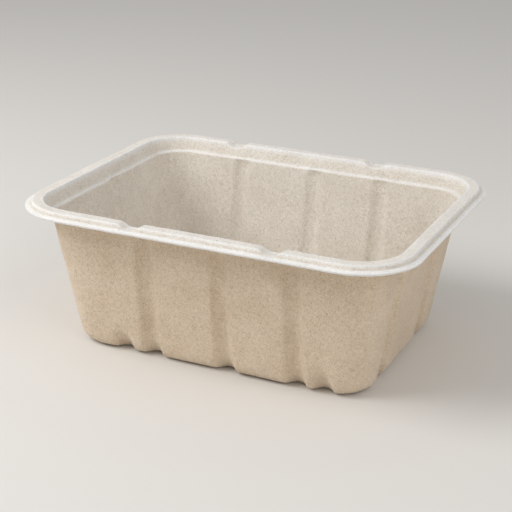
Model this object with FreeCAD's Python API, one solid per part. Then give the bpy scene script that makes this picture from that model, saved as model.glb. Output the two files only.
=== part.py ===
import FreeCAD, Part
import math
import os

# Meal box of moulded sugarcane pulp: one sheet of even thickness, pressed to shape in one go.
# Frame: +Z up, +X along the length, -Y the front long side. The origin is the middle of the
# base, on the plane that the box stands on. Millimetres.

# ---- driving dimensions -----------------------------------------------------------------
LENGTH = 190.0               # over the flange
WIDTH = 148.0                # over the flange
HEIGHT = 71.0                # from the standing plane to the top of the bead
SHEET = 0.9                  # thickness of the pulp sheet, the same everywhere
PLAN_RADIUS = 28.5           # corner of the flange's edge, seen from above

# the rim's upper face, from the flange's edge inwards: (inset from that edge, depth below
# the top of the bead), and the round at each bend
FLANGE_EDGE = (0.0, 2.6)
CREASE = (2.4, 1.9)
BEAD_OUTER = (3.4, 0.0)
BEAD_INNER = (8.4, 0.0)
STEP_OUTER = (11.4, 6.4)
STEP_INNER = (12.9, 6.9)
BEAD_ROUNDING = SHEET        # over the bead's two bends, which are sharp underneath
LEDGE_ROUNDING = 0.7         # over the step's inner edge

# the walls and the base
FOOT_INSET = 21.6            # outer face of the walls, carried down to the standing plane
CORNER_RADIUS = 16.0         # outside, between two walls, measured square to the slanting edge
FOOT_ROUNDING = 6.5          # outside, between the walls and the base
PANEL_INSET = 38.0           # the middle of the base is pressed up, inside a standing border
PANEL_RADIUS = 9.0
PANEL_RISE = 1.2
PANEL_SLOPE = 2.0            # width of the slope round the pressed-up panel

# the flutes of the front and right walls: round channels in the outside of the wall. Each is
# the path of a leaning round bar, which starts under the step and lies deepest at the foot.
FLUTE_RADIUS = 7.5
FLUTE_HEAD = HEIGHT - 8.5    # level of its flat upper end, just under the step
FLUTE_HEAD_DEPTH = 1.7
FLUTE_FOOT_DEPTH = 2.6
FLUTES_FRONT = (-29.6, 7.5, 42.2)
FLUTES_RIGHT = (-29.0, 22.0)

# the flutes of the back and left walls: the same channels in the inside of the wall, which
# stand out on the outside. They are open at the top, through the ledge, so that the inner
# mould can leave them, and end in a round above the foot.
HOLLOW_RADIUS = 9.0
HOLLOW_DEPTH = 1.4
HOLLOW_END = 17.0            # level of the middle of the round end
HOLLOWS_BACK = (-38.2, 2.9, 38.5)
HOLLOWS_LEFT = (4.5,)

# the toe dents: the path of a short, steep bar, which lifts the rounded foot off the standing
# plane. There is one at the end of each outside flute, and one on its own near each long
# side's ends.
TOE_RADIUS = 5.8
TOE_HEAD = 12.0
TOE_FOOT_DEPTH = 7.5
TOES_FRONT = (-44.8, 55.0)
TOES_BACK = (-53.0, 52.0)

# the notches: short gaps in the bead, with sloping ends, level with the flange
NOTCH_FLOOR = 5.0            # width at the floor
NOTCH_RUN = 1.65             # how far an end runs for each millimetre that it rises
NOTCH_FALL = 0.8             # how far the floor falls from the crease to the inner wall
NOTCHES_FRONT = (-30.5, 36.8)
NOTCHES_BACK = (-44.0, 33.0)

CLEAR = 3.0                  # how far a cutting solid runs past what it cuts
LEVEL = 0.1                  # edges this close to a height are taken as lying at it
UP = FreeCAD.Vector(0, 0, 1)


def vector(x, y, z):
    return FreeCAD.Vector(x, y, z)


# ---- the rim: the section of the sheet, carried once round the box -------------------------
def offset_profile(points, distance):
    """The same open profile, moved sideways by distance, with its corners mitred."""
    moved = []
    for point in points:
        normals = []
        for a, b in zip(points[:-1], points[1:]):
            if point in (a, b):
                length = math.dist(a, b)
                normals.append(((a[1] - b[1]) / length, (b[0] - a[0]) / length))
        across = sum(n[0] for n in normals) / len(normals)
        up = sum(n[1] for n in normals) / len(normals)
        reach = distance / (across ** 2 + up ** 2)
        moved.append((point[0] + across * reach, point[1] + up * reach))
    return moved


def rim_vector(point):
    """A point of the section, set out from the axis that the rim's corner turns about."""
    inset, z = point
    return vector(PLAN_RADIUS - inset, 0, z)


def rounded_run(points, radii):
    """Edges along an open profile, with an arc of the given radius at each bend."""
    corners = [rim_vector(point) for point in points]
    edges = []
    start = corners[0]
    for before, corner, after, radius in zip(corners, corners[1:], corners[2:], radii):
        back = (before - corner).normalize()
        ahead = (after - corner).normalize()
        if radius == 0:
            edges.append(Part.makeLine(start, corner))
            start = corner
            continue
        half = back.getAngle(ahead) / 2
        middle_way = (back + ahead).normalize()
        tangent_in = corner + back * (radius / math.tan(half))
        tangent_out = corner + ahead * (radius / math.tan(half))
        crown = corner + middle_way * (radius / math.sin(half) - radius)
        edges.append(Part.makeLine(start, tangent_in))
        edges.append(Part.Arc(tangent_in, crown, tangent_out).toShape())
        start = tangent_out
    edges.append(Part.makeLine(start, corners[-1]))
    return edges


def round_the_rim(section):
    """The section turned through each corner and drawn along each side of the rim."""
    reach_x = LENGTH / 2 - PLAN_RADIUS
    reach_y = WIDTH / 2 - PLAN_RADIUS
    turns = (
        (0, vector(reach_x, reach_y, 0), vector(-2 * reach_x, 0, 0)),
        (90, vector(-reach_x, reach_y, 0), vector(0, -2 * reach_y, 0)),
        (180, vector(-reach_x, -reach_y, 0), vector(2 * reach_x, 0, 0)),
        (270, vector(reach_x, -reach_y, 0), vector(0, 2 * reach_y, 0)),
    )
    pieces = []
    for angle, centre, side in turns:
        placed = section.copy()
        placed.rotate(vector(0, 0, 0), UP, angle)
        placed.translate(centre)
        pieces.append(placed.revolve(centre, UP, 90))
        placed.rotate(centre, UP, 90)
        pieces.append(placed.extrude(side))
    return pieces[0].fuse(pieces[1:]).removeSplitter()


# the step runs on under the wall's inner face, which trims it later
step_fall = (STEP_INNER[1] - STEP_OUTER[1]) / (STEP_INNER[0] - STEP_OUTER[0])
STEP_END = (STEP_INNER[0] + SHEET, STEP_INNER[1] + SHEET * step_fall)
rim_points = [FLANGE_EDGE, CREASE, BEAD_OUTER, BEAD_INNER, STEP_OUTER, STEP_END]
upper = [(inset, HEIGHT - depth) for inset, depth in rim_points]
upper_radii = [0, BEAD_ROUNDING, BEAD_ROUNDING, 0]
lower = offset_profile(upper, -SHEET)
lower_radii = [0, 0, 0, 0]


def closed_section(*runs):
    return Part.Face(Part.Wire(Part.__sortEdges__([edge for run in runs for edge in run])))


def straight_run(points):
    corners = [rim_vector(point) for point in points]
    return [Part.makeLine(a, b) for a, b in zip(corners, corners[1:])]


top_run = rounded_run(upper, upper_radii)
under_run = rounded_run(lower, lower_radii)
flange_end = straight_run([upper[0], lower[0]])
step_end = straight_run([upper[-1], lower[-1]])
rim = round_the_rim(closed_section(top_run, flange_end, under_run, step_end))

# everything that lies under the rim's upper face, down to below the step
deep = upper[-1][1] - CLEAR
under_rim = round_the_rim(closed_section(
    top_run,
    straight_run([upper[-1], (upper[-1][0], deep), (upper[0][0], deep), upper[0]]),
))


# ---- the tub: drafted walls with round corners, standing on a round foot ---------------------
def drafted_block(inset, z, upper_inset, upper_z, corner_radius):
    """Block with four leaning flat sides and round corners, from one level to another."""
    low_x, low_y = LENGTH / 2 - inset, WIDTH / 2 - inset
    high_x, high_y = LENGTH / 2 - upper_inset, WIDTH / 2 - upper_inset
    block = Part.makeWedge(
        -low_x, z, -low_y, -high_y, -high_x,
        low_x, upper_z, low_y, high_y, high_x,
    )
    block.rotate(vector(0, 0, 0), vector(1, 0, 0), 90)
    slanting = [edge for edge in block.Edges if edge.BoundBox.ZLength > (upper_z - z) / 2]
    return block.makeFillet(corner_radius, slanting)


def foot_rounded(block, z, radius):
    low = [edge for edge in block.Edges if edge.BoundBox.ZMax < z + LEVEL]
    return block.makeFillet(radius, low)


wall_slope = (FOOT_INSET + SHEET - STEP_INNER[0]) / (HEIGHT - STEP_INNER[1])      # per mm of height


def wall_inset(z, depth=0.0):
    """How far in the wall's outer face lies at a height, or a place at a depth under it."""
    return FOOT_INSET - wall_slope * z + depth


step_z = HEIGHT - STEP_INNER[1] - SHEET / 2      # inside the thickness of the step
tub = drafted_block(FOOT_INSET, 0.0, wall_inset(step_z), step_z, CORNER_RADIUS)
tub = foot_rounded(tub, 0.0, FOOT_ROUNDING)
hollow_z = HEIGHT + CLEAR
hollow = drafted_block(
    wall_inset(SHEET, SHEET), SHEET,
    wall_inset(hollow_z, SHEET), hollow_z,
    CORNER_RADIUS - SHEET,
)
hollow = foot_rounded(hollow, SHEET, FOOT_ROUNDING - SHEET)

panel = drafted_block(PANEL_INSET, 0.0, PANEL_INSET + PANEL_SLOPE, PANEL_RISE, PANEL_RADIUS)
panel_top = drafted_block(
    PANEL_INSET - SHEET / 2, SHEET,
    PANEL_INSET - SHEET / 2 + PANEL_SLOPE, SHEET + PANEL_RISE,
    PANEL_RADIUS,
)
hollow = hollow.cut(panel_top)
box = rim.fuse(tub).cut(hollow).cut(panel).removeSplitter()
ledge_z = HEIGHT - STEP_INNER[1]
ledge = [edge for edge in box.Edges if abs(edge.CenterOfMass.z - ledge_z) < LEVEL]
box = box.makeFillet(LEDGE_ROUNDING, [edge for edge in ledge if edge.BoundBox.ZLength < 2 * LEVEL])


# ---- flutes and toe dents -----------------------------------------------------------------
def wall_point(side, along, z, depth):
    """A place at a depth under the outer face of a wall."""
    inset = wall_inset(z, depth)
    return {
        "front": vector(along, inset - WIDTH / 2, z),
        "back": vector(along, WIDTH / 2 - inset, z),
        "right": vector(LENGTH / 2 - inset, along, z),
        "left": vector(inset - LENGTH / 2, along, z),
    }[side]


def below(level):
    return Part.makeBox(LENGTH, WIDTH, level + CLEAR, vector(-LENGTH / 2, -WIDTH / 2, -CLEAR))


def bar(side, along, head, head_depth, foot_depth, radius, sheet=0.0):
    """Leaning round bar with a level upper end, or that bar grown by the sheet."""
    start = wall_point(side, along, head, head_depth - radius)
    foot = wall_point(side, along, 0.0, foot_depth - radius)
    run = (foot - start).normalize()
    length = (foot - start).Length + 2 * CLEAR
    round_bar = Part.makeCylinder(radius + sheet, length, start - run * CLEAR, run)
    return round_bar.common(below(head + sheet))


flutes = [("front", x) for x in FLUTES_FRONT] + [("right", y) for y in FLUTES_RIGHT]
toes = flutes + [("front", x) for x in TOES_FRONT] + [("back", x) for x in TOES_BACK]
channels = [(*place, FLUTE_HEAD, FLUTE_HEAD_DEPTH, FLUTE_FOOT_DEPTH, FLUTE_RADIUS) for place in flutes]
channels += [(*place, TOE_HEAD, 0.0, TOE_FOOT_DEPTH, TOE_RADIUS) for place in toes]

grooves = [bar(*channel) for channel in channels]
ribs = [bar(*channel, SHEET).common(hollow) for channel in channels]
box = box.fuse(ribs).cut(grooves).removeSplitter()


def inner_bar(side, along, radius):
    """Round bar along the inside of a wall, with a round lower end."""
    depth = SHEET - HOLLOW_DEPTH + HOLLOW_RADIUS
    start = wall_point(side, along, HOLLOW_END, depth)
    end = wall_point(side, along, HEIGHT, depth)
    round_bar = Part.makeCylinder(radius, (end - start).Length, start, end - start)
    return round_bar.fuse(Part.makeSphere(radius, start))


hollows = [("back", x) for x in HOLLOWS_BACK] + [("left", y) for y in HOLLOWS_LEFT]
under_ledge = below(ledge_z)
swells = [inner_bar(*place, HOLLOW_RADIUS + SHEET).cut(hollow).common(under_ledge) for place in hollows]
box = box.fuse(swells).cut([inner_bar(*place, HOLLOW_RADIUS) for place in hollows]).removeSplitter()


# ---- notches in the bead --------------------------------------------------------------------
def notch(side, along, sheet):
    """Trapezoid bar across the bead, or that bar grown by one thickness of the sheet."""
    slant = math.hypot(NOTCH_RUN, 1.0)
    floor = HEIGHT - CREASE[1] - sheet
    top = HEIGHT + CLEAR
    half_floor = NOTCH_FLOOR / 2 + sheet * (slant - 1.0) / NOTCH_RUN
    half_top = half_floor + (top - floor) * NOTCH_RUN
    inwards = -1 if side == "back" else 1
    start = inwards * (CREASE[0] - WIDTH / 2)
    run = vector(0, inwards * (STEP_INNER[0] - CREASE[0]), -NOTCH_FALL)
    corners = [(-half_top, top), (-half_floor, floor), (half_floor, floor), (half_top, top)]
    points = [vector(along + x, start, z) for x, z in corners]
    return Part.Face(Part.makePolygon(points + points[:1])).extrude(run)


notches = [("front", x) for x in NOTCHES_FRONT] + [("back", x) for x in NOTCHES_BACK]
floors = [notch(side, along, SHEET).common(under_rim) for side, along in notches]
gaps = [notch(side, along, 0.0) for side, along in notches]
box = box.fuse(floors).cut(gaps).removeSplitter()

os.makedirs("parts", exist_ok=True)
box.Solids[0].exportStep("parts/meal_box.step")
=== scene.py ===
import math
from collections import namedtuple

import bpy
from mathutils import Matrix, Vector
from numpy import interp


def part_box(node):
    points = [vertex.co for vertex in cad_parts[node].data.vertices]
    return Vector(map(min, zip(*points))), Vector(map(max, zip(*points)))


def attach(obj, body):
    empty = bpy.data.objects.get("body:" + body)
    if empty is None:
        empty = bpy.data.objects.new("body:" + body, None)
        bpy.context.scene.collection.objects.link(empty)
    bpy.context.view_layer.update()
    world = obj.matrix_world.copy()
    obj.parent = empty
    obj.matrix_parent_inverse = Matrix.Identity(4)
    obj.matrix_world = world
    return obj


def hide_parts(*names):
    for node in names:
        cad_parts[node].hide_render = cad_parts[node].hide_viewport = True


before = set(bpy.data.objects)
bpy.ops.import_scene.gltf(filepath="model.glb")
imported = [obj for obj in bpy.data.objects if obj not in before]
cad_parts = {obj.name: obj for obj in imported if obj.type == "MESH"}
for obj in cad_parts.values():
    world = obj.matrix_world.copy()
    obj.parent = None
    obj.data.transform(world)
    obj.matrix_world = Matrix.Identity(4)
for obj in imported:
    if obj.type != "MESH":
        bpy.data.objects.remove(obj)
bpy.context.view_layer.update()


# ---- Moulded sugarcane-fibre pulp --------------------------------------------------------------
# Bagasse is short, tangled cane fibre, hot-pressed wet. It dries to a matt felt in cream and tan,
# smoother and paler on the face that meets the polished mould, and palest along the rim where
# the mould packs it hardest. Pale lines on the bead's shoulders and the ledge are painted
# highlights, the darker crease is painted shade, and the rough face's warm tan is partly painted
# warm bounce light. Single fibres, brown flecks of rind and pinholes show in it, the pinholes
# darkened with painted shade.
def add(tree, kind, inputs=None, **settings):
    """Adds a node with its settings, and sets or links its inputs by name or number."""
    node = tree.nodes.new(kind)
    for name, value in settings.items():
        setattr(node, name, value)
    for name, value in (inputs or {}).items():
        if isinstance(value, bpy.types.NodeSocket):
            tree.links.new(value, node.inputs[name])
        else:
            node.inputs[name].default_value = value
    return node


def linear(hex_colour):
    """An sRGB hex colour as the linear values that a shader takes."""
    channels = [int(hex_colour[place:place + 2], 16) / 255 for place in (1, 3, 5)]
    return [c / 12.92 if c <= 0.04045 else ((c + 0.055) / 1.055) ** 2.4 for c in channels] + [1.0]


MM = 0.001
TO_MM = 1000.0
MATH = "ShaderNodeMath"
VECTOR_MATH = "ShaderNodeVectorMath"
MIX = "ShaderNodeMix"
NOISE = "ShaderNodeTexNoise"
VORONOI = "ShaderNodeTexVoronoi"
RIND = "#8C6A45"
# painted shade inside the pinholes
PINHOLE_SHADE = "#B9A88F"

# Sizes in millimetres. A real cane fibre is about 0.02 mm wide and 1 to 1.5 mm long, and its felt
# is as fine, so fibres, felt and pinholes are drawn coarser, as coarse as they need to show.
CLOUD = 14.0           # patches of thicker and thinner felt
RIPPLE = 2.6           # the shallow unevenness of the wet sheet
FELT = 0.6
FIBRE_LENGTH = 2.6
FIBRE_WIDTH = 0.4
FIBRE_TURNS = (18, 65, 110, 155)    # the ways that fibres lie, in degrees
FIBRE_TONES = (0.5, -0.3, 0.5, -0.3)    # pale and dark by turns
FLECK_SPACING = 6.5
FLECK_RADIUS = 0.5     # of the largest
PIT_SPACING = 3.4
PIT_RADIUS = 0.4       # of the largest
RELIEF = 0.28          # how deep the face's unevenness is drawn
SIDE_SHIFT = 70.0      # keeps the fibres on one side from matching those on the next


def moulded_pulp(name, shade, light, packed_or_highlit_dark, packed_or_highlit_pale):
    """Cane fibre between two colours, and two others where packed hard or painted with highlights."""
    material = bpy.data.materials.new(name)
    material.use_nodes = True
    tree = material.node_tree
    tree.nodes.clear()
    coordinates = add(tree, "ShaderNodeTexCoord").outputs
    place = add(tree, VECTOR_MATH, {0: coordinates["Object"], "Scale": TO_MM}, operation="SCALE").outputs[0]
    # how hard the pulp is packed, with painted highlights on the rim's shoulders and ledge
    dense = add(tree, "ShaderNodeAttribute", attribute_name="dense").outputs["Fac"]

    # soft clouds of thicker and thinner felt, a ripple that only the relief shows, and the
    # felt's own grain
    cloud = add(tree, NOISE, {"Vector": place, "Scale": 1 / CLOUD, "Detail": 2.0}).outputs[0]
    ripple = add(tree, NOISE, {"Vector": place, "Scale": 1 / RIPPLE, "Detail": 1.0}).outputs[0]
    felt = add(
        tree, NOISE, {"Vector": place, "Scale": 1 / FELT, "Detail": 3.0, "Roughness": 0.65}
    ).outputs[0]

    # fibres lie in the face of the sheet, so they are laid out flat on whichever way it faces
    axes = add(tree, "ShaderNodeSeparateXYZ", {0: place}).outputs
    facing = add(tree, VECTOR_MATH, {0: coordinates["Normal"]}, operation="ABSOLUTE").outputs[0]
    facing = add(tree, "ShaderNodeSeparateXYZ", {0: facing}).outputs
    on_top = add(tree, "ShaderNodeCombineXYZ", {0: axes[0], 1: axes[1]}).outputs[0]
    on_long = add(tree, "ShaderNodeCombineXYZ", {0: axes[0], 1: axes[2], 2: SIDE_SHIFT}).outputs[0]
    on_short = add(tree, "ShaderNodeCombineXYZ", {0: axes[1], 1: axes[2], 2: 2 * SIDE_SHIFT}).outputs[0]
    sideways = add(tree, MATH, {0: facing[0], 1: facing[1]}, operation="GREATER_THAN").outputs[0]
    side_on = add(tree, MIX, {0: sideways, 4: on_long, 5: on_short}, data_type="VECTOR").outputs[1]
    steepest = add(tree, MATH, {0: facing[0], 1: facing[1]}, operation="MAXIMUM").outputs[0]
    upwards = add(tree, MATH, {0: facing[2], 1: steepest}, operation="GREATER_THAN").outputs[0]
    in_face = add(tree, MIX, {0: upwards, 4: side_on, 5: on_top}, data_type="VECTOR").outputs[1]
    fibres = []
    for turn in FIBRE_TURNS:
        laid = add(
            tree, "ShaderNodeMapping",
            {
                "Vector": in_face, "Rotation": (0, 0, math.radians(turn)),
                "Scale": (FIBRE_LENGTH, FIBRE_WIDTH, 1),
            },
            vector_type="TEXTURE",
        ).outputs[0]
        strands = add(tree, NOISE, {"Vector": laid, "Scale": 1.0, "Detail": 1.0}).outputs[0]
        strands = add(
            tree, "ShaderNodeMapRange", {0: strands, 1: 0.56, 2: 0.7}, interpolation_type="SMOOTHSTEP"
        ).outputs[0]
        fibres.append(strands)

    # the tone between the shaded and the light colour, with pale and dark fibres by turns
    tone = add(tree, MATH, {0: cloud, 1: 0.6, 2: -0.45}, operation="MULTIPLY_ADD").outputs[0]
    tone = add(tree, MATH, {0: felt, 1: 1.3, 2: tone}, operation="MULTIPLY_ADD").outputs[0]
    for fibre, strength in zip(fibres, FIBRE_TONES):
        tone = add(tree, MATH, {0: fibre, 1: strength, 2: tone}, operation="MULTIPLY_ADD").outputs[0]
    plain = add(
        tree, MIX, {0: tone, 6: linear(shade), 7: linear(light)}, data_type="RGBA"
    ).outputs[2]
    packed_or_highlit = add(
        tree, MIX, {0: tone, 6: linear(packed_or_highlit_dark), 7: linear(packed_or_highlit_pale)}, data_type="RGBA"
    ).outputs[2]
    # paler where packed, and painted highlights on the bead's shoulders and the ledge
    colour = add(tree, MIX, {0: dense, 6: plain, 7: packed_or_highlit}, data_type="RGBA").outputs[2]

    # flecks of rind, and pinholes where the wet sheet let go of the mould, darkened with painted shade
    flecks = add(tree, VORONOI, {"Vector": place, "Scale": 1 / FLECK_SPACING}).outputs
    fleck_size = add(tree, "ShaderNodeSeparateColor", {0: flecks["Color"]}).outputs[0]
    fleck_size = add(
        tree, MATH, {0: fleck_size, 1: FLECK_RADIUS / FLECK_SPACING}, operation="MULTIPLY"
    ).outputs[0]
    fleck = add(tree, MATH, {0: flecks["Distance"], 1: fleck_size}, operation="LESS_THAN").outputs[0]
    fleck = add(tree, MATH, {0: fleck, 1: 0.4}, operation="MULTIPLY").outputs[0]
    colour = add(tree, MIX, {0: fleck, 6: colour, 7: linear(RIND)}, data_type="RGBA").outputs[2]
    pits = add(tree, VORONOI, {"Vector": place, "Scale": 1 / PIT_SPACING}).outputs
    pit_size = add(tree, "ShaderNodeSeparateColor", {0: pits["Color"]}).outputs[1]
    pit_size = add(
        tree, MATH, {0: pit_size, 1: PIT_RADIUS / PIT_SPACING}, operation="MULTIPLY"
    ).outputs[0]
    pit = add(tree, MATH, {0: pits["Distance"], 1: pit_size}, operation="DIVIDE").outputs[0]
    pit = add(tree, "ShaderNodeMapRange", {0: pit, 1: 1.0, 2: 0.4, 3: 0.0, 4: 1.0}).outputs[0]
    painted_pit_shade = add(tree, MATH, {0: pit, 1: 0.35}, operation="MULTIPLY").outputs[0]
    colour = add(tree, MIX, {0: painted_pit_shade, 6: colour, 7: linear(PINHOLE_SHADE)}, data_type="RGBA").outputs[2]

    # the relief: pinholes, felt, ripple and fibres standing a little proud, weaker where packed or
    # painted with highlights
    relief = add(tree, MATH, {0: pit, 1: -0.8}, operation="MULTIPLY").outputs[0]
    relief = add(tree, MATH, {0: felt, 1: 1.15, 2: relief}, operation="MULTIPLY_ADD").outputs[0]
    relief = add(tree, MATH, {0: ripple, 1: 0.55, 2: relief}, operation="MULTIPLY_ADD").outputs[0]
    for fibre in fibres:
        relief = add(tree, MATH, {0: fibre, 1: 0.4, 2: relief}, operation="MULTIPLY_ADD").outputs[0]
    loose = add(
        tree, MATH, {0: dense, 1: -0.5, 2: 1.0}, operation="MULTIPLY_ADD", use_clamp=True
    ).outputs[0]
    relief = add(
        tree, "ShaderNodeBump", {"Height": relief, "Strength": loose, "Distance": RELIEF * MM}
    ).outputs[0]
    skin = add(
        tree, "ShaderNodeBsdfPrincipled",
        {
            "Base Color": colour, "Roughness": 0.9, "IOR": 1.47, "Normal": relief,
            "Sheen Weight": 0.2, "Sheen Roughness": 0.5,
        },
    ).outputs[0]
    add(tree, "ShaderNodeOutputMaterial", {"Surface": skin})
    return material


# the rough face looks no paler where it is packed, so its two pairs of colours are the same; their
# warm tan is partly the pulp's own and partly painted warm bounce light
smooth_face = moulded_pulp(
    "moulded_sugarcane_pulp_smooth_face", "#D9CDBE", "#F6F0E5", "#DDD9D4", "#F8F7F5"
)
rough_face = moulded_pulp(
    "moulded_sugarcane_pulp_rough_face", "#CFB798", "#F2E1CB", "#CFB798", "#F2E1CB"
)


# ---- The sheet's section -----------------------------------------------------------------------
# One sheet of wet sugarcane pulp, 0.9 mm thick when dry, is pressed between two hot moulds.
# Its inner face is drawn here from the flange's edge, over the bead and the step and down the
# wall to the base. Every bend has a round, because a mould can't press a sharp one.
SHEET = 0.9
low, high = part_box("meal_box")
HALF_X = high.x / MM
HALF_Y = high.y / MM
TOP = high.z / MM
FOOT_ROOM = 0.2        # keeps the underside's lumps above what the box stands on
BASE_LEVEL = low.z / MM + SHEET + FOOT_ROOM    # of the inner face
BASE_RISE = 1.2        # how far the middle of the base is pressed up
ARC_STEP = math.radians(13)

# inset from the flange's edge, height, corner radius seen from above, round at the bend,
# and spacing of the rows that follow
Station = namedtuple("Station", "inset height corner round spacing")
STATIONS = (
    Station(0.0, TOP - 2.6, 28.5, 0.0, 0.6),
    Station(2.4, TOP - 1.9, 26.1, 0.4, 0.6),
    Station(3.4, TOP, 25.1, 0.9, 0.7),
    Station(8.4, TOP, 20.1, 1.0, 0.8),
    Station(11.4, TOP - 6.4, 17.1, 0.9, 0.4),
    Station(12.9, TOP - 6.9, 15.6, 1.1, 2.2),
    Station(22.4, BASE_LEVEL, 15.1, 5.6, 2.4),
    Station(37.5, BASE_LEVEL, 9.0, 1.5, 0.7),
    Station(39.5, BASE_LEVEL + BASE_RISE, 9.0, 0.0, 1.5),
)
MIDDLE_ROWS = 8
CREASE, LEDGE, FOOT = STATIONS[1], STATIONS[5], STATIONS[6]
WALL_SLOPE = (FOOT.inset - LEDGE.inset) / (LEDGE.height - FOOT.height)
WALL_INSET = FOOT.inset + FOOT.height * WALL_SLOPE    # the wall's line carried down to level 0


def bend(before, here, after):
    """Points on the round at a bend."""
    corner = Vector((here.inset, here.height))
    back = (Vector((before.inset, before.height)) - corner).normalized()
    ahead = (Vector((after.inset, after.height)) - corner).normalized()
    half = back.angle(ahead) / 2
    centre = corner + (back + ahead).normalized() * here.round / math.sin(half)
    first = (corner + back * here.round / math.tan(half) - centre).normalized()
    last = (corner + ahead * here.round / math.tan(half) - centre).normalized()
    steps = max(2, math.ceil(first.angle(last) / ARC_STEP))
    return [centre + first.slerp(last, step / steps) * here.round for step in range(steps + 1)]


# the rows run along the section, and the last few close over the middle of the base
line = [Vector((STATIONS[0].inset, STATIONS[0].height))]
for number in range(1, len(STATIONS)):
    here = STATIONS[number]
    arc = [Vector((here.inset, here.height))]
    if here.round:
        arc = bend(STATIONS[number - 1], here, STATIONS[number + 1])
    start = line[-1]
    steps = math.ceil((arc[0] - start).length / STATIONS[number - 1].spacing)
    line += [start.lerp(arc[0], step / steps) for step in range(1, steps)]
    line += arc

insets = [station.inset for station in STATIONS]
row_insets = [point.x for point in line] + [line[-1].x] * MIDDLE_ROWS
row_heights = [point.y for point in line] + [line[-1].y] * MIDDLE_ROWS
row_corners = interp(row_insets, insets, [station.corner for station in STATIONS])
# how hard the mould packs the fibres, which leaves them paler: most along the rim, and not at all
# down the walls. Its pale lines on the bead's two shoulders and along the ledge are painted
# highlights, and its drop to nothing at the crease is painted shade.
row_packing_and_painted_light = interp(
    row_insets,
    (0, 2.1, 2.4, 2.8, 3.2, 4.2, 7.2, 8.2, 8.8, 9.6, 11.0, 11.4, 12.5, 12.8, 13.0),
    (1, 1.0, 0.0, 0.0, 1.0, 0.3, 0.3, 1.0, 0.9, 0.1, 0.0, 0.7, 0.7, 0.3, 0.0),
)
row_spread = [1.0] * len(line) + [1 - (step + 1) / MIDDLE_ROWS for step in range(MIDDLE_ROWS)]


def points_object(name, points, **attributes):
    """An object of loose points, with a number attribute or two, for a node tree to read."""
    mesh = bpy.data.meshes.new(name)
    mesh.from_pydata([[value * MM for value in point] for point in points], [], [])
    for label, values in attributes.items():
        layer = mesh.attributes.new(label, "FLOAT", "POINT")
        layer.data.foreach_set("value", values)
    return bpy.data.objects.new(name, mesh)


section = points_object(
    "section", list(zip(row_insets, row_corners, row_heights)), spread=row_spread, dense=row_packing_and_painted_light
)


# ---- Where the mould presses its flutes, toe dents and notches ---------------------------------
# The mould presses these into the pulp. Flutes stiffen the walls: they go in on the front and
# right, and out on the back and left, where they are called hollows. Toe dents nick the foot, and
# notches break the bead so that a lid's tabs can reach under it.
FLUTES_FRONT = (-29.6, 7.5, 42.2)
FLUTES_RIGHT = (-29.0, 22.0)
FLUTE_RADIUS = 5.7
FLUTE_REACH = 3.0      # how far in at level 0
FLUTE_TAPER = 0.01     # how much less for each millimetre up
HOLLOWS_BACK = (-38.2, 2.9, 38.5)
HOLLOWS_LEFT = (4.5,)
HOLLOW_RADIUS = 6.2
HOLLOW_REACH = 1.8
HOLLOW_END = 17.0      # how far up its length the middle of its round end lies
TOES_FRONT = (-44.8, 55.0)
TOES_BACK = (-53.0, 52.0)
TOE_RADIUS = 5.8
TOE_REACH = 6.0
TOE_HEAD = 10.0        # level at which it runs out
NOTCHES_FRONT = (-30.5, 36.8)
NOTCHES_BACK = (-44.0, 33.0)
NOTCH_DROP = 2.1       # from the bead's top to the notch's floor, at the crease
NOTCH_FALL = 0.8       # how far the floor falls from the crease to the ledge
SIDES = ("front", "back", "right", "left")
SIDE_GAP = 1000.0


def places(name, **along):
    """One point for each place: its distance along its side, with the sides a metre apart."""
    spots = []
    for side, distances in along.items():
        spots += [(distance + SIDES.index(side) * SIDE_GAP, 0, 0) for distance in distances]
    return points_object(name, spots)


flute_places = places("flute_places", front=FLUTES_FRONT, right=FLUTES_RIGHT)
hollow_places = places("hollow_places", back=HOLLOWS_BACK, left=HOLLOWS_LEFT)
toe_places = places(
    "toe_places", front=FLUTES_FRONT + TOES_FRONT, right=FLUTES_RIGHT, back=TOES_BACK
)
notch_places = places("notch_places", front=NOTCHES_FRONT, back=NOTCHES_BACK)


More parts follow.
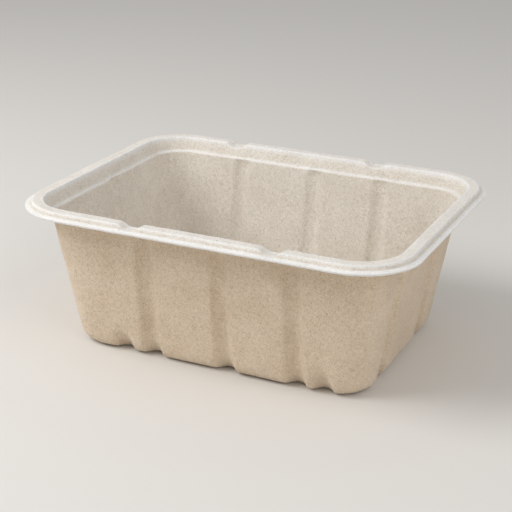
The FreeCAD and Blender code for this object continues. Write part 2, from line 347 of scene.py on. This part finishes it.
# ---- The pressed tray --------------------------------------------------------------------------
# The whole box is one moulding of cane pulp, so one tree presses it from a flat grid: each row
# takes its inset and height from the section, each column its way round the box, and then come
# the flutes, toe dents, hollows and notches, and pulp's small unevenness.
LUMP_SPACING = 9.0     # from one low lump of the pulp to the next, roughly
PRESS_INPUTS = (
    ("Section", "NodeSocketObject", section),
    ("Half Length", "NodeSocketFloat", HALF_X * MM),
    ("Half Width", "NodeSocketFloat", HALF_Y * MM),
    ("Columns", "NodeSocketInt", 464),
    ("Column Corner", "NodeSocketFloat", 22 * MM),
    ("Wall Top", "NodeSocketFloat", LEDGE.height * MM),
    ("Wall Fade", "NodeSocketFloat", 1.6 * MM),
    ("Flute Places", "NodeSocketObject", flute_places),
    ("Flute Radius", "NodeSocketFloat", FLUTE_RADIUS * MM),
    ("Flute Inset", "NodeSocketFloat", (WALL_INSET + FLUTE_REACH - FLUTE_RADIUS) * MM),
    ("Flute Lean", "NodeSocketFloat", WALL_SLOPE + FLUTE_TAPER),
    ("Flute Softness", "NodeSocketFloat", 1.3 * MM),
    ("Toe Places", "NodeSocketObject", toe_places),
    ("Toe Radius", "NodeSocketFloat", TOE_RADIUS * MM),
    ("Toe Inset", "NodeSocketFloat", (WALL_INSET + TOE_REACH - TOE_RADIUS) * MM),
    ("Toe Lean", "NodeSocketFloat", WALL_SLOPE + TOE_REACH / TOE_HEAD),
    ("Toe Softness", "NodeSocketFloat", 2.2 * MM),
    ("Hollow Places", "NodeSocketObject", hollow_places),
    ("Hollow Radius", "NodeSocketFloat", HOLLOW_RADIUS * MM),
    ("Hollow Inset", "NodeSocketFloat", (WALL_INSET + HOLLOW_RADIUS - HOLLOW_REACH) * MM),
    ("Hollow Lean", "NodeSocketFloat", WALL_SLOPE),
    ("Hollow Softness", "NodeSocketFloat", 0.8 * MM),
    ("Hollow End", "NodeSocketFloat", HOLLOW_END * MM),
    ("Ledge Share", "NodeSocketFloat", 0.45),
    ("Notch Places", "NodeSocketObject", notch_places),
    ("Notch Half Floor", "NodeSocketFloat", 2.3 * MM),
    ("Notch Run", "NodeSocketFloat", 1.35),
    ("Notch Height", "NodeSocketFloat", (TOP - NOTCH_DROP) * MM),
    ("Notch Fall", "NodeSocketFloat", NOTCH_FALL / (LEDGE.inset - CREASE.inset)),
    ("Notch Foot Softness", "NodeSocketFloat", 0.5 * MM),
    ("Notch Edge Softness", "NodeSocketFloat", 0.35 * MM),
    ("Crease Inset", "NodeSocketFloat", CREASE.inset * MM),
    ("Corner Points", "NodeSocketInt", 48),
    ("Seam Gap", "NodeSocketFloat", 0.01 * MM),
    ("Height", "NodeSocketFloat", TOP * MM),
    ("Lump Height", "NodeSocketFloat", 0.5 * MM),
    ("Lump Scale", "NodeSocketFloat", 1 / LUMP_SPACING),
    ("Seed", "NodeSocketFloat", 3.0),
    ("Pulp", "NodeSocketMaterial", smooth_face),
)

press = bpy.data.node_groups.new("press_tray", "GeometryNodeTree")
press_ids = {}
for name, kind, value in PRESS_INPUTS:
    press_ids[name] = press.interface.new_socket(name, in_out="INPUT", socket_type=kind).identifier
press.interface.new_socket("Geometry", in_out="OUTPUT", socket_type="NodeSocketGeometry")
given = add(press, "NodeGroupInput").outputs

# the grid, its rows and its columns
section_points = add(press, "GeometryNodeObjectInfo", {"Object": given["Section"]}).outputs["Geometry"]
row_count = add(
    press, "GeometryNodeAttributeDomainSize", {"Geometry": section_points}
).outputs["Point Count"]
across = add(press, MATH, {0: given["Columns"], 1: 1.0}, operation="ADD").outputs[0]
grid = add(press, "GeometryNodeMeshGrid", {"Vertices X": row_count, "Vertices Y": across}).outputs["Mesh"]
index = add(press, "GeometryNodeInputIndex").outputs[0]
row = add(press, MATH, {0: index, 1: across}, operation="DIVIDE").outputs[0]
row = add(press, MATH, {0: row}, operation="FLOOR").outputs[0]
column = add(press, MATH, {0: index, 1: across}, operation="MODULO").outputs[0]
share = add(press, MATH, {0: column, 1: given["Columns"]}, operation="DIVIDE").outputs[0]

# each row's inset, corner radius and height, and how far it is spread from the middle
place = add(press, "GeometryNodeInputPosition").outputs[0]
level = add(
    press, "GeometryNodeSampleIndex", {"Geometry": section_points, "Value": place, "Index": row},
    data_type="FLOAT_VECTOR",
).outputs["Value"]
level = add(press, "ShaderNodeSeparateXYZ", {0: level}).outputs
inset, corner, height = level[0], level[1], level[2]
sampled = {}
for label in ("spread", "dense"):
    named = add(press, "GeometryNodeInputNamedAttribute", {"Name": label}, data_type="FLOAT").outputs[0]
    sampled[label] = add(
        press, "GeometryNodeSampleIndex", {"Geometry": section_points, "Value": named, "Index": row},
        data_type="FLOAT",
    ).outputs["Value"]

# each column's way round: a rounded rectangle gives its outward direction and its inner point
half_size = add(press, "ShaderNodeCombineXYZ", {0: given["Half Length"], 1: given["Half Width"]}).outputs[0]
full_x = add(press, MATH, {0: given["Half Length"], 1: 2.0}, operation="MULTIPLY").outputs[0]
full_y = add(press, MATH, {0: given["Half Width"], 1: 2.0}, operation="MULTIPLY").outputs[0]
outline = add(press, "GeometryNodeCurvePrimitiveQuadrilateral", {"Width": full_x, "Height": full_y})
outline = add(
    press, "GeometryNodeFilletCurve",
    {"Curve": outline.outputs[0], "Radius": given["Column Corner"], "Count": given["Corner Points"]},
    mode="POLY",
)
way = add(press, "GeometryNodeSampleCurve", {"Curves": outline.outputs[0], "Factor": share}).outputs
outward = add(press, VECTOR_MATH, {0: way["Tangent"], 1: (0, 0, 1)}, operation="CROSS_PRODUCT").outputs[0]
outward = add(press, VECTOR_MATH, {0: outward}, operation="NORMALIZE").outputs[0]
inner = add(press, VECTOR_MATH, {0: outward, 1: given["Column Corner"]}, operation="MULTIPLY").outputs[0]
inner = add(press, VECTOR_MATH, {0: way["Position"], 1: inner}, operation="SUBTRACT").outputs[0]
inner_half = add(
    press, VECTOR_MATH, {0: half_size, 1: given["Column Corner"]}, operation="SUBTRACT"
).outputs[0]
inner = add(press, VECTOR_MATH, {0: inner, 1: inner_half}, operation="DIVIDE").outputs[0]

# the plain box: the inner point moves in with the inset, and the corner radius goes on it
drawn_in = add(press, MATH, {0: inset, 1: corner}, operation="ADD").outputs[0]
reach = add(press, VECTOR_MATH, {0: half_size, 1: drawn_in}, operation="SUBTRACT").outputs[0]
flat = add(press, VECTOR_MATH, {0: inner, 1: reach}, operation="MULTIPLY").outputs[0]
round_off = add(press, VECTOR_MATH, {0: outward, 1: corner}, operation="MULTIPLY").outputs[0]
flat = add(press, VECTOR_MATH, {0: flat, 1: round_off}, operation="ADD").outputs[0]
flat = add(press, VECTOR_MATH, {0: flat, "Scale": sampled["spread"]}, operation="SCALE").outputs[0]

# where a point lies along its side: along X at the front and back, along Y at the right and
# left, and each side a metre on from the one before it, in the order of SIDES
spot = add(press, "ShaderNodeSeparateXYZ", {0: flat}).outputs
facing = add(press, "ShaderNodeSeparateXYZ", {0: outward}).outputs
facing_x = add(press, MATH, {0: facing[0]}, operation="ABSOLUTE").outputs[0]
facing_y = add(press, MATH, {0: facing[1]}, operation="ABSOLUTE").outputs[0]
on_short = add(press, MATH, {0: facing_x, 1: facing_y}, operation="GREATER_THAN").outputs[0]
on_back = add(press, MATH, {0: facing[1], 1: 0.0}, operation="GREATER_THAN").outputs[0]
on_left = add(press, MATH, {0: facing[0], 1: 0.0}, operation="LESS_THAN").outputs[0]
along_long = add(press, MATH, {0: spot[0], 1: on_back}, operation="ADD").outputs[0]
along_short = add(press, MATH, {0: spot[1], 1: on_left}, operation="ADD").outputs[0]
along_short = add(press, MATH, {0: along_short, 1: SIDES.index("right")}, operation="ADD").outputs[0]
along = add(press, MIX, {0: on_short, 2: along_long, 3: along_short}).outputs[0]
along = add(press, "ShaderNodeCombineXYZ", {0: along}).outputs[0]


NO_END = -1.0          # a bar that has no round end goes on down, past everything


def away_from(places_socket):
    """How far along its side a point lies from the nearest of these places, with its sign."""
    spots = add(press, "GeometryNodeObjectInfo", {"Object": places_socket}).outputs["Geometry"]
    nearest = add(
        press, "GeometryNodeProximity", {"Geometry": spots, "Sample Position": along},
        target_element="POINTS",
    ).outputs["Position"]
    away = add(press, VECTOR_MATH, {0: along, 1: nearest}, operation="SUBTRACT").outputs[0]
    return add(press, "ShaderNodeSeparateXYZ", {0: away}).outputs[0]


def shape_round(bar, aside, inset, height, strength, lowest):
    """Moves what lies inside a leaning round bar straight out to the bar's surface."""
    foot = add(press, "ShaderNodeCombineXYZ", {1: given[bar + " Inset"]}).outputs[0]
    lean = add(press, MATH, {0: given[bar + " Lean"], 1: -1.0}, operation="MULTIPLY").outputs[0]
    run = add(press, "ShaderNodeCombineXYZ", {1: lean, 2: 1.0}).outputs[0]
    run = add(press, VECTOR_MATH, {0: run}, operation="NORMALIZE").outputs[0]
    point = add(press, "ShaderNodeCombineXYZ", {0: aside, 1: inset, 2: height}).outputs[0]
    from_foot = add(press, VECTOR_MATH, {0: point, 1: foot}, operation="SUBTRACT").outputs[0]
    up_bar = add(press, VECTOR_MATH, {0: from_foot, 1: run}, operation="DOT_PRODUCT").outputs["Value"]
    up_bar = add(press, MATH, {0: up_bar, 1: lowest}, operation="MAXIMUM").outputs[0]
    centre = add(press, VECTOR_MATH, {0: run, "Scale": up_bar}, operation="SCALE").outputs[0]
    centre = add(press, VECTOR_MATH, {0: foot, 1: centre}, operation="ADD").outputs[0]
    spoke = add(press, VECTOR_MATH, {0: point, 1: centre}, operation="SUBTRACT").outputs[0]
    length = add(press, VECTOR_MATH, {0: spoke}, operation="LENGTH").outputs["Value"]
    longer = add(
        press, MATH, {0: length, 1: given[bar + " Radius"], 2: given[bar + " Softness"]},
        operation="SMOOTH_MAX",
    ).outputs[0]
    growth = add(press, MATH, {0: longer, 1: length}, operation="DIVIDE").outputs[0]
    growth = add(press, MATH, {0: growth, 1: 1.0}, operation="SUBTRACT").outputs[0]
    growth = add(press, MATH, {0: growth, 1: strength}, operation="MULTIPLY").outputs[0]
    shift = add(press, VECTOR_MATH, {0: spoke, "Scale": growth}, operation="SCALE").outputs[0]
    return add(press, VECTOR_MATH, {0: point, 1: shift}, operation="ADD").outputs[0]


# flutes and toe dents push the wall inwards, under the step, and hollows push it outwards, and
# a little way into the ledge too
below = add(press, MATH, {0: given["Wall Top"], 1: height}, operation="SUBTRACT").outputs[0]
below = add(press, MATH, {0: below, 1: given["Wall Fade"]}, operation="DIVIDE", use_clamp=True).outputs[0]
in_hollow = add(press, MIX, {0: below, 2: given["Ledge Share"], 3: 1.0}).outputs[0]
moved = add(press, "ShaderNodeCombineXYZ", {1: inset, 2: height}).outputs[0]
slid = 0.0
for bar, strength, lowest in (
    ("Flute", below, NO_END), ("Toe", below, NO_END), ("Hollow", in_hollow, given["Hollow End"])
):
    aside = add(press, MATH, {0: away_from(given[bar + " Places"]), 1: slid}, operation="ADD").outputs[0]
    start = add(press, "ShaderNodeSeparateXYZ", {0: moved}).outputs
    shaped = shape_round(bar, aside, start[1], start[2], strength, lowest)
    shaped = add(press, "ShaderNodeSeparateXYZ", {0: shaped}).outputs
    step = add(press, MATH, {0: shaped[0], 1: aside}, operation="SUBTRACT").outputs[0]
    slid = add(press, MATH, {0: step, 1: slid}, operation="ADD").outputs[0]
    moved = add(press, "ShaderNodeCombineXYZ", {1: shaped[1], 2: shaped[2]}).outputs[0]
moved = add(press, "ShaderNodeSeparateXYZ", {0: moved}).outputs
inwards = add(press, MATH, {0: inset, 1: moved[1]}, operation="SUBTRACT").outputs[0]
pushed = add(press, VECTOR_MATH, {0: outward, "Scale": inwards}, operation="SCALE").outputs[0]
pushed = add(press, VECTOR_MATH, {0: flat, 1: pushed}, operation="ADD").outputs[0]
along_side = add(press, MATH, {0: 1.0, 1: on_short}, operation="SUBTRACT").outputs[0]
along_side = add(press, "ShaderNodeCombineXYZ", {0: along_side, 1: on_short}).outputs[0]
along_side = add(press, VECTOR_MATH, {0: along_side, "Scale": slid}, operation="SCALE").outputs[0]
pushed = add(press, VECTOR_MATH, {0: pushed, 1: along_side}, operation="ADD").outputs[0]
height = moved[2]

# notches: the bead is pressed down to the flange's level, with sloping ends
from_crease = add(press, MATH, {0: inset, 1: given["Crease Inset"]}, operation="SUBTRACT").outputs[0]
floor_fall = add(press, MATH, {0: from_crease, 1: given["Notch Fall"]}, operation="MULTIPLY").outputs[0]
notch_face = add(press, MATH, {0: given["Notch Height"], 1: floor_fall}, operation="SUBTRACT").outputs[0]
ramp = add(press, MATH, {0: away_from(given["Notch Places"])}, operation="ABSOLUTE").outputs[0]
ramp = add(press, MATH, {0: ramp, 1: given["Notch Half Floor"]}, operation="SUBTRACT").outputs[0]
ramp = add(press, MATH, {0: ramp, 1: given["Notch Run"]}, operation="DIVIDE").outputs[0]
ramp = add(
    press, MATH, {0: ramp, 1: 0.0, 2: given["Notch Foot Softness"]}, operation="SMOOTH_MAX"
).outputs[0]
notch_face = add(press, MATH, {0: notch_face, 1: ramp}, operation="ADD").outputs[0]
lowered = add(
    press, MATH, {0: height, 1: notch_face, 2: given["Notch Edge Softness"]}, operation="SMOOTH_MIN"
).outputs[0]
in_plan = add(press, "ShaderNodeSeparateXYZ", {0: pushed}).outputs
pressed = add(press, "ShaderNodeCombineXYZ", {0: in_plan[0], 1: in_plan[1], 2: lowered}).outputs[0]

# the grid takes its shape, and is joined along its seam and at the middle of the base
shaped = add(press, "GeometryNodeSetPosition", {"Geometry": grid, "Position": pressed}).outputs[0]
# the packing, with its painted highlights and crease shade, goes on to the material
shaped = add(
    press, "GeometryNodeStoreNamedAttribute",
    {"Geometry": shaped, "Name": "dense", "Value": sampled["dense"]},
    data_type="FLOAT", domain="POINT",
).outputs[0]
shaped = add(
    press, "GeometryNodeMergeByDistance", {"Geometry": shaped, "Distance": given["Seam Gap"]}
).outputs[0]
shaped = add(press, "GeometryNodeFlipFaces", {0: shaped}).outputs[0]

# pulp never lies quite flat: low lumps all over, kept inside the box's own limits
place = add(press, "GeometryNodeInputPosition").outputs[0]
place = add(press, VECTOR_MATH, {0: place, "Scale": TO_MM}, operation="SCALE").outputs[0]
lumps = add(
    press, NOISE,
    {"Vector": place, "W": given["Seed"], "Scale": given["Lump Scale"], "Detail": 1.5},
    noise_dimensions="4D",
).outputs[0]
lumps = add(press, MATH, {0: lumps, 1: 0.5}, operation="SUBTRACT").outputs[0]
lumps = add(press, MATH, {0: lumps, 1: given["Lump Height"]}, operation="MULTIPLY").outputs[0]
normal = add(press, "GeometryNodeInputNormal").outputs[0]
lumps = add(press, VECTOR_MATH, {0: normal, "Scale": lumps}, operation="SCALE").outputs[0]
shaped = add(press, "GeometryNodeSetPosition", {"Geometry": shaped, "Offset": lumps}).outputs[0]
least = add(press, VECTOR_MATH, {0: half_size, "Scale": -1.0}, operation="SCALE").outputs[0]
most = add(press, "ShaderNodeCombineXYZ", {2: given["Height"]}).outputs[0]
most = add(press, VECTOR_MATH, {0: half_size, 1: most}, operation="ADD").outputs[0]
within = add(press, "GeometryNodeInputPosition").outputs[0]
within = add(press, VECTOR_MATH, {0: within, 1: least}, operation="MAXIMUM").outputs[0]
within = add(press, VECTOR_MATH, {0: within, 1: most}, operation="MINIMUM").outputs[0]
shaped = add(press, "GeometryNodeSetPosition", {"Geometry": shaped, "Position": within}).outputs[0]
shaped = add(press, "GeometryNodeRealizeInstances", {0: shaped}).outputs[0]
shaped = add(press, "GeometryNodeSetMaterial", {"Geometry": shaped, "Material": given["Pulp"]}).outputs[0]
add(press, "NodeGroupOutput", {"Geometry": shaped})

maker = bpy.data.objects.new("meal_box_maker", bpy.data.meshes.new("blank"))
bpy.context.scene.collection.objects.link(maker)
pressing = maker.modifiers.new("press", "NODES")
pressing.node_group = press
for name, kind, value in PRESS_INPUTS:
    pressing[press_ids[name]] = value
bpy.context.view_layer.update()
made = maker.evaluated_get(bpy.context.evaluated_depsgraph_get())
tray_mesh = bpy.data.meshes.new_from_object(made)
bpy.data.objects.remove(maker)
tray = bpy.data.objects.new("pulp_tray", tray_mesh)
bpy.context.scene.collection.objects.link(tray)
tray_mesh.shade_smooth()
tray_mesh.materials.append(rough_face)

# the pressed face is the smooth inner one, and the sheet's thickness lies outside it
thickness = tray.modifiers.new("sheet thickness", "SOLIDIFY")
thickness.thickness = SHEET * MM
thickness.offset = -1
thickness.use_even_offset = True
thickness.material_offset = 1
thickness.material_offset_rim = 0
eased = tray.modifiers.new("eased edge", "BEVEL")
eased.limit_method = "ANGLE"
eased.angle_limit = math.radians(60)
eased.width = 0.25 * MM
eased.segments = 2

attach(tray, "root")
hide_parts("meal_box")


# ---- Floor, light and camera -------------------------------------------------------------------
# The box stands on a plain pale floor. A softbox stands high at the front left, a larger and
# weaker one fills in from the right, and an even light comes from all round.
FLOOR_HALF = 4.0       # in metres, as are the places of the lamps and the camera
floor_mesh = bpy.data.meshes.new("floor")
floor_mesh.from_pydata(
    [(-FLOOR_HALF, -FLOOR_HALF, 0), (FLOOR_HALF, -FLOOR_HALF, 0),
     (FLOOR_HALF, FLOOR_HALF, 0), (-FLOOR_HALF, FLOOR_HALF, 0)],
    [], [(0, 1, 2, 3)],
)
floor = bpy.data.objects.new("floor", floor_mesh)
bpy.context.scene.collection.objects.link(floor)
floor_paint = bpy.data.materials.new("matt_pale_floor")
floor_paint.use_nodes = True
floor_shader = floor_paint.node_tree.nodes["Principled BSDF"]
floor_shader.inputs["Base Color"].default_value = linear("#DEDBD6")
floor_shader.inputs["Roughness"].default_value = 0.95
floor_mesh.materials.append(floor_paint)

WORLD_STRENGTH = 0.49
world = bpy.data.worlds.new("soft_studio")
world.use_nodes = True
world.node_tree.nodes["Background"].inputs["Color"].default_value = linear("#FFFFFF")
world.node_tree.nodes["Background"].inputs["Strength"].default_value = WORLD_STRENGTH
bpy.context.scene.world = world
bpy.context.scene.view_settings.view_transform = "Standard"


def softbox(name, place, size, power):
    """A round area lamp, aimed at the middle of the box's foot."""
    lamp = bpy.data.lights.new(name, "AREA")
    lamp.shape = "DISK"
    lamp.size = size
    lamp.energy = power
    holder = bpy.data.objects.new(name, lamp)
    place = Vector(place)
    aim = (-place).to_track_quat("-Z", "Y").to_matrix().to_4x4()
    holder.matrix_world = Matrix.Translation(place) @ aim
    bpy.context.scene.collection.objects.link(holder)


softbox("key_softbox", place=(-0.57, -0.40, 0.68), size=0.6, power=5.7)
softbox("fill_softbox", place=(0.80, -0.30, 0.60), size=0.9, power=2.5)

# the camera stands at the front right and looks down, turned about the middle of the rim
AZIMUTH = math.radians(24.66)
ELEVATION = math.radians(21.17)
ROLL = math.radians(0.88)
BACK_OFF = Vector((-0.0020, -0.0288, 0.6083))    # right, up and back, as the camera faces
RIM_DROP = 2.15 * MM   # from the bead's top, about level with the flange
rim_centre = Vector((0, 0, high.z - RIM_DROP))
turn = (
    Matrix.Rotation(AZIMUTH, 4, "Z")
    @ Matrix.Rotation(math.pi / 2 - ELEVATION, 4, "X")
    @ Matrix.Rotation(ROLL, 4, "Z")
)
lens = bpy.data.cameras.new("camera")
lens.sensor_width = 36.0
lens.lens = 91.0
lens.clip_start = 0.01
lens.clip_end = 30.0
camera = bpy.data.objects.new("camera", lens)
camera.matrix_world = Matrix.Translation(rim_centre) @ turn @ Matrix.Translation(BACK_OFF)
bpy.context.scene.collection.objects.link(camera)
bpy.context.scene.camera = camera
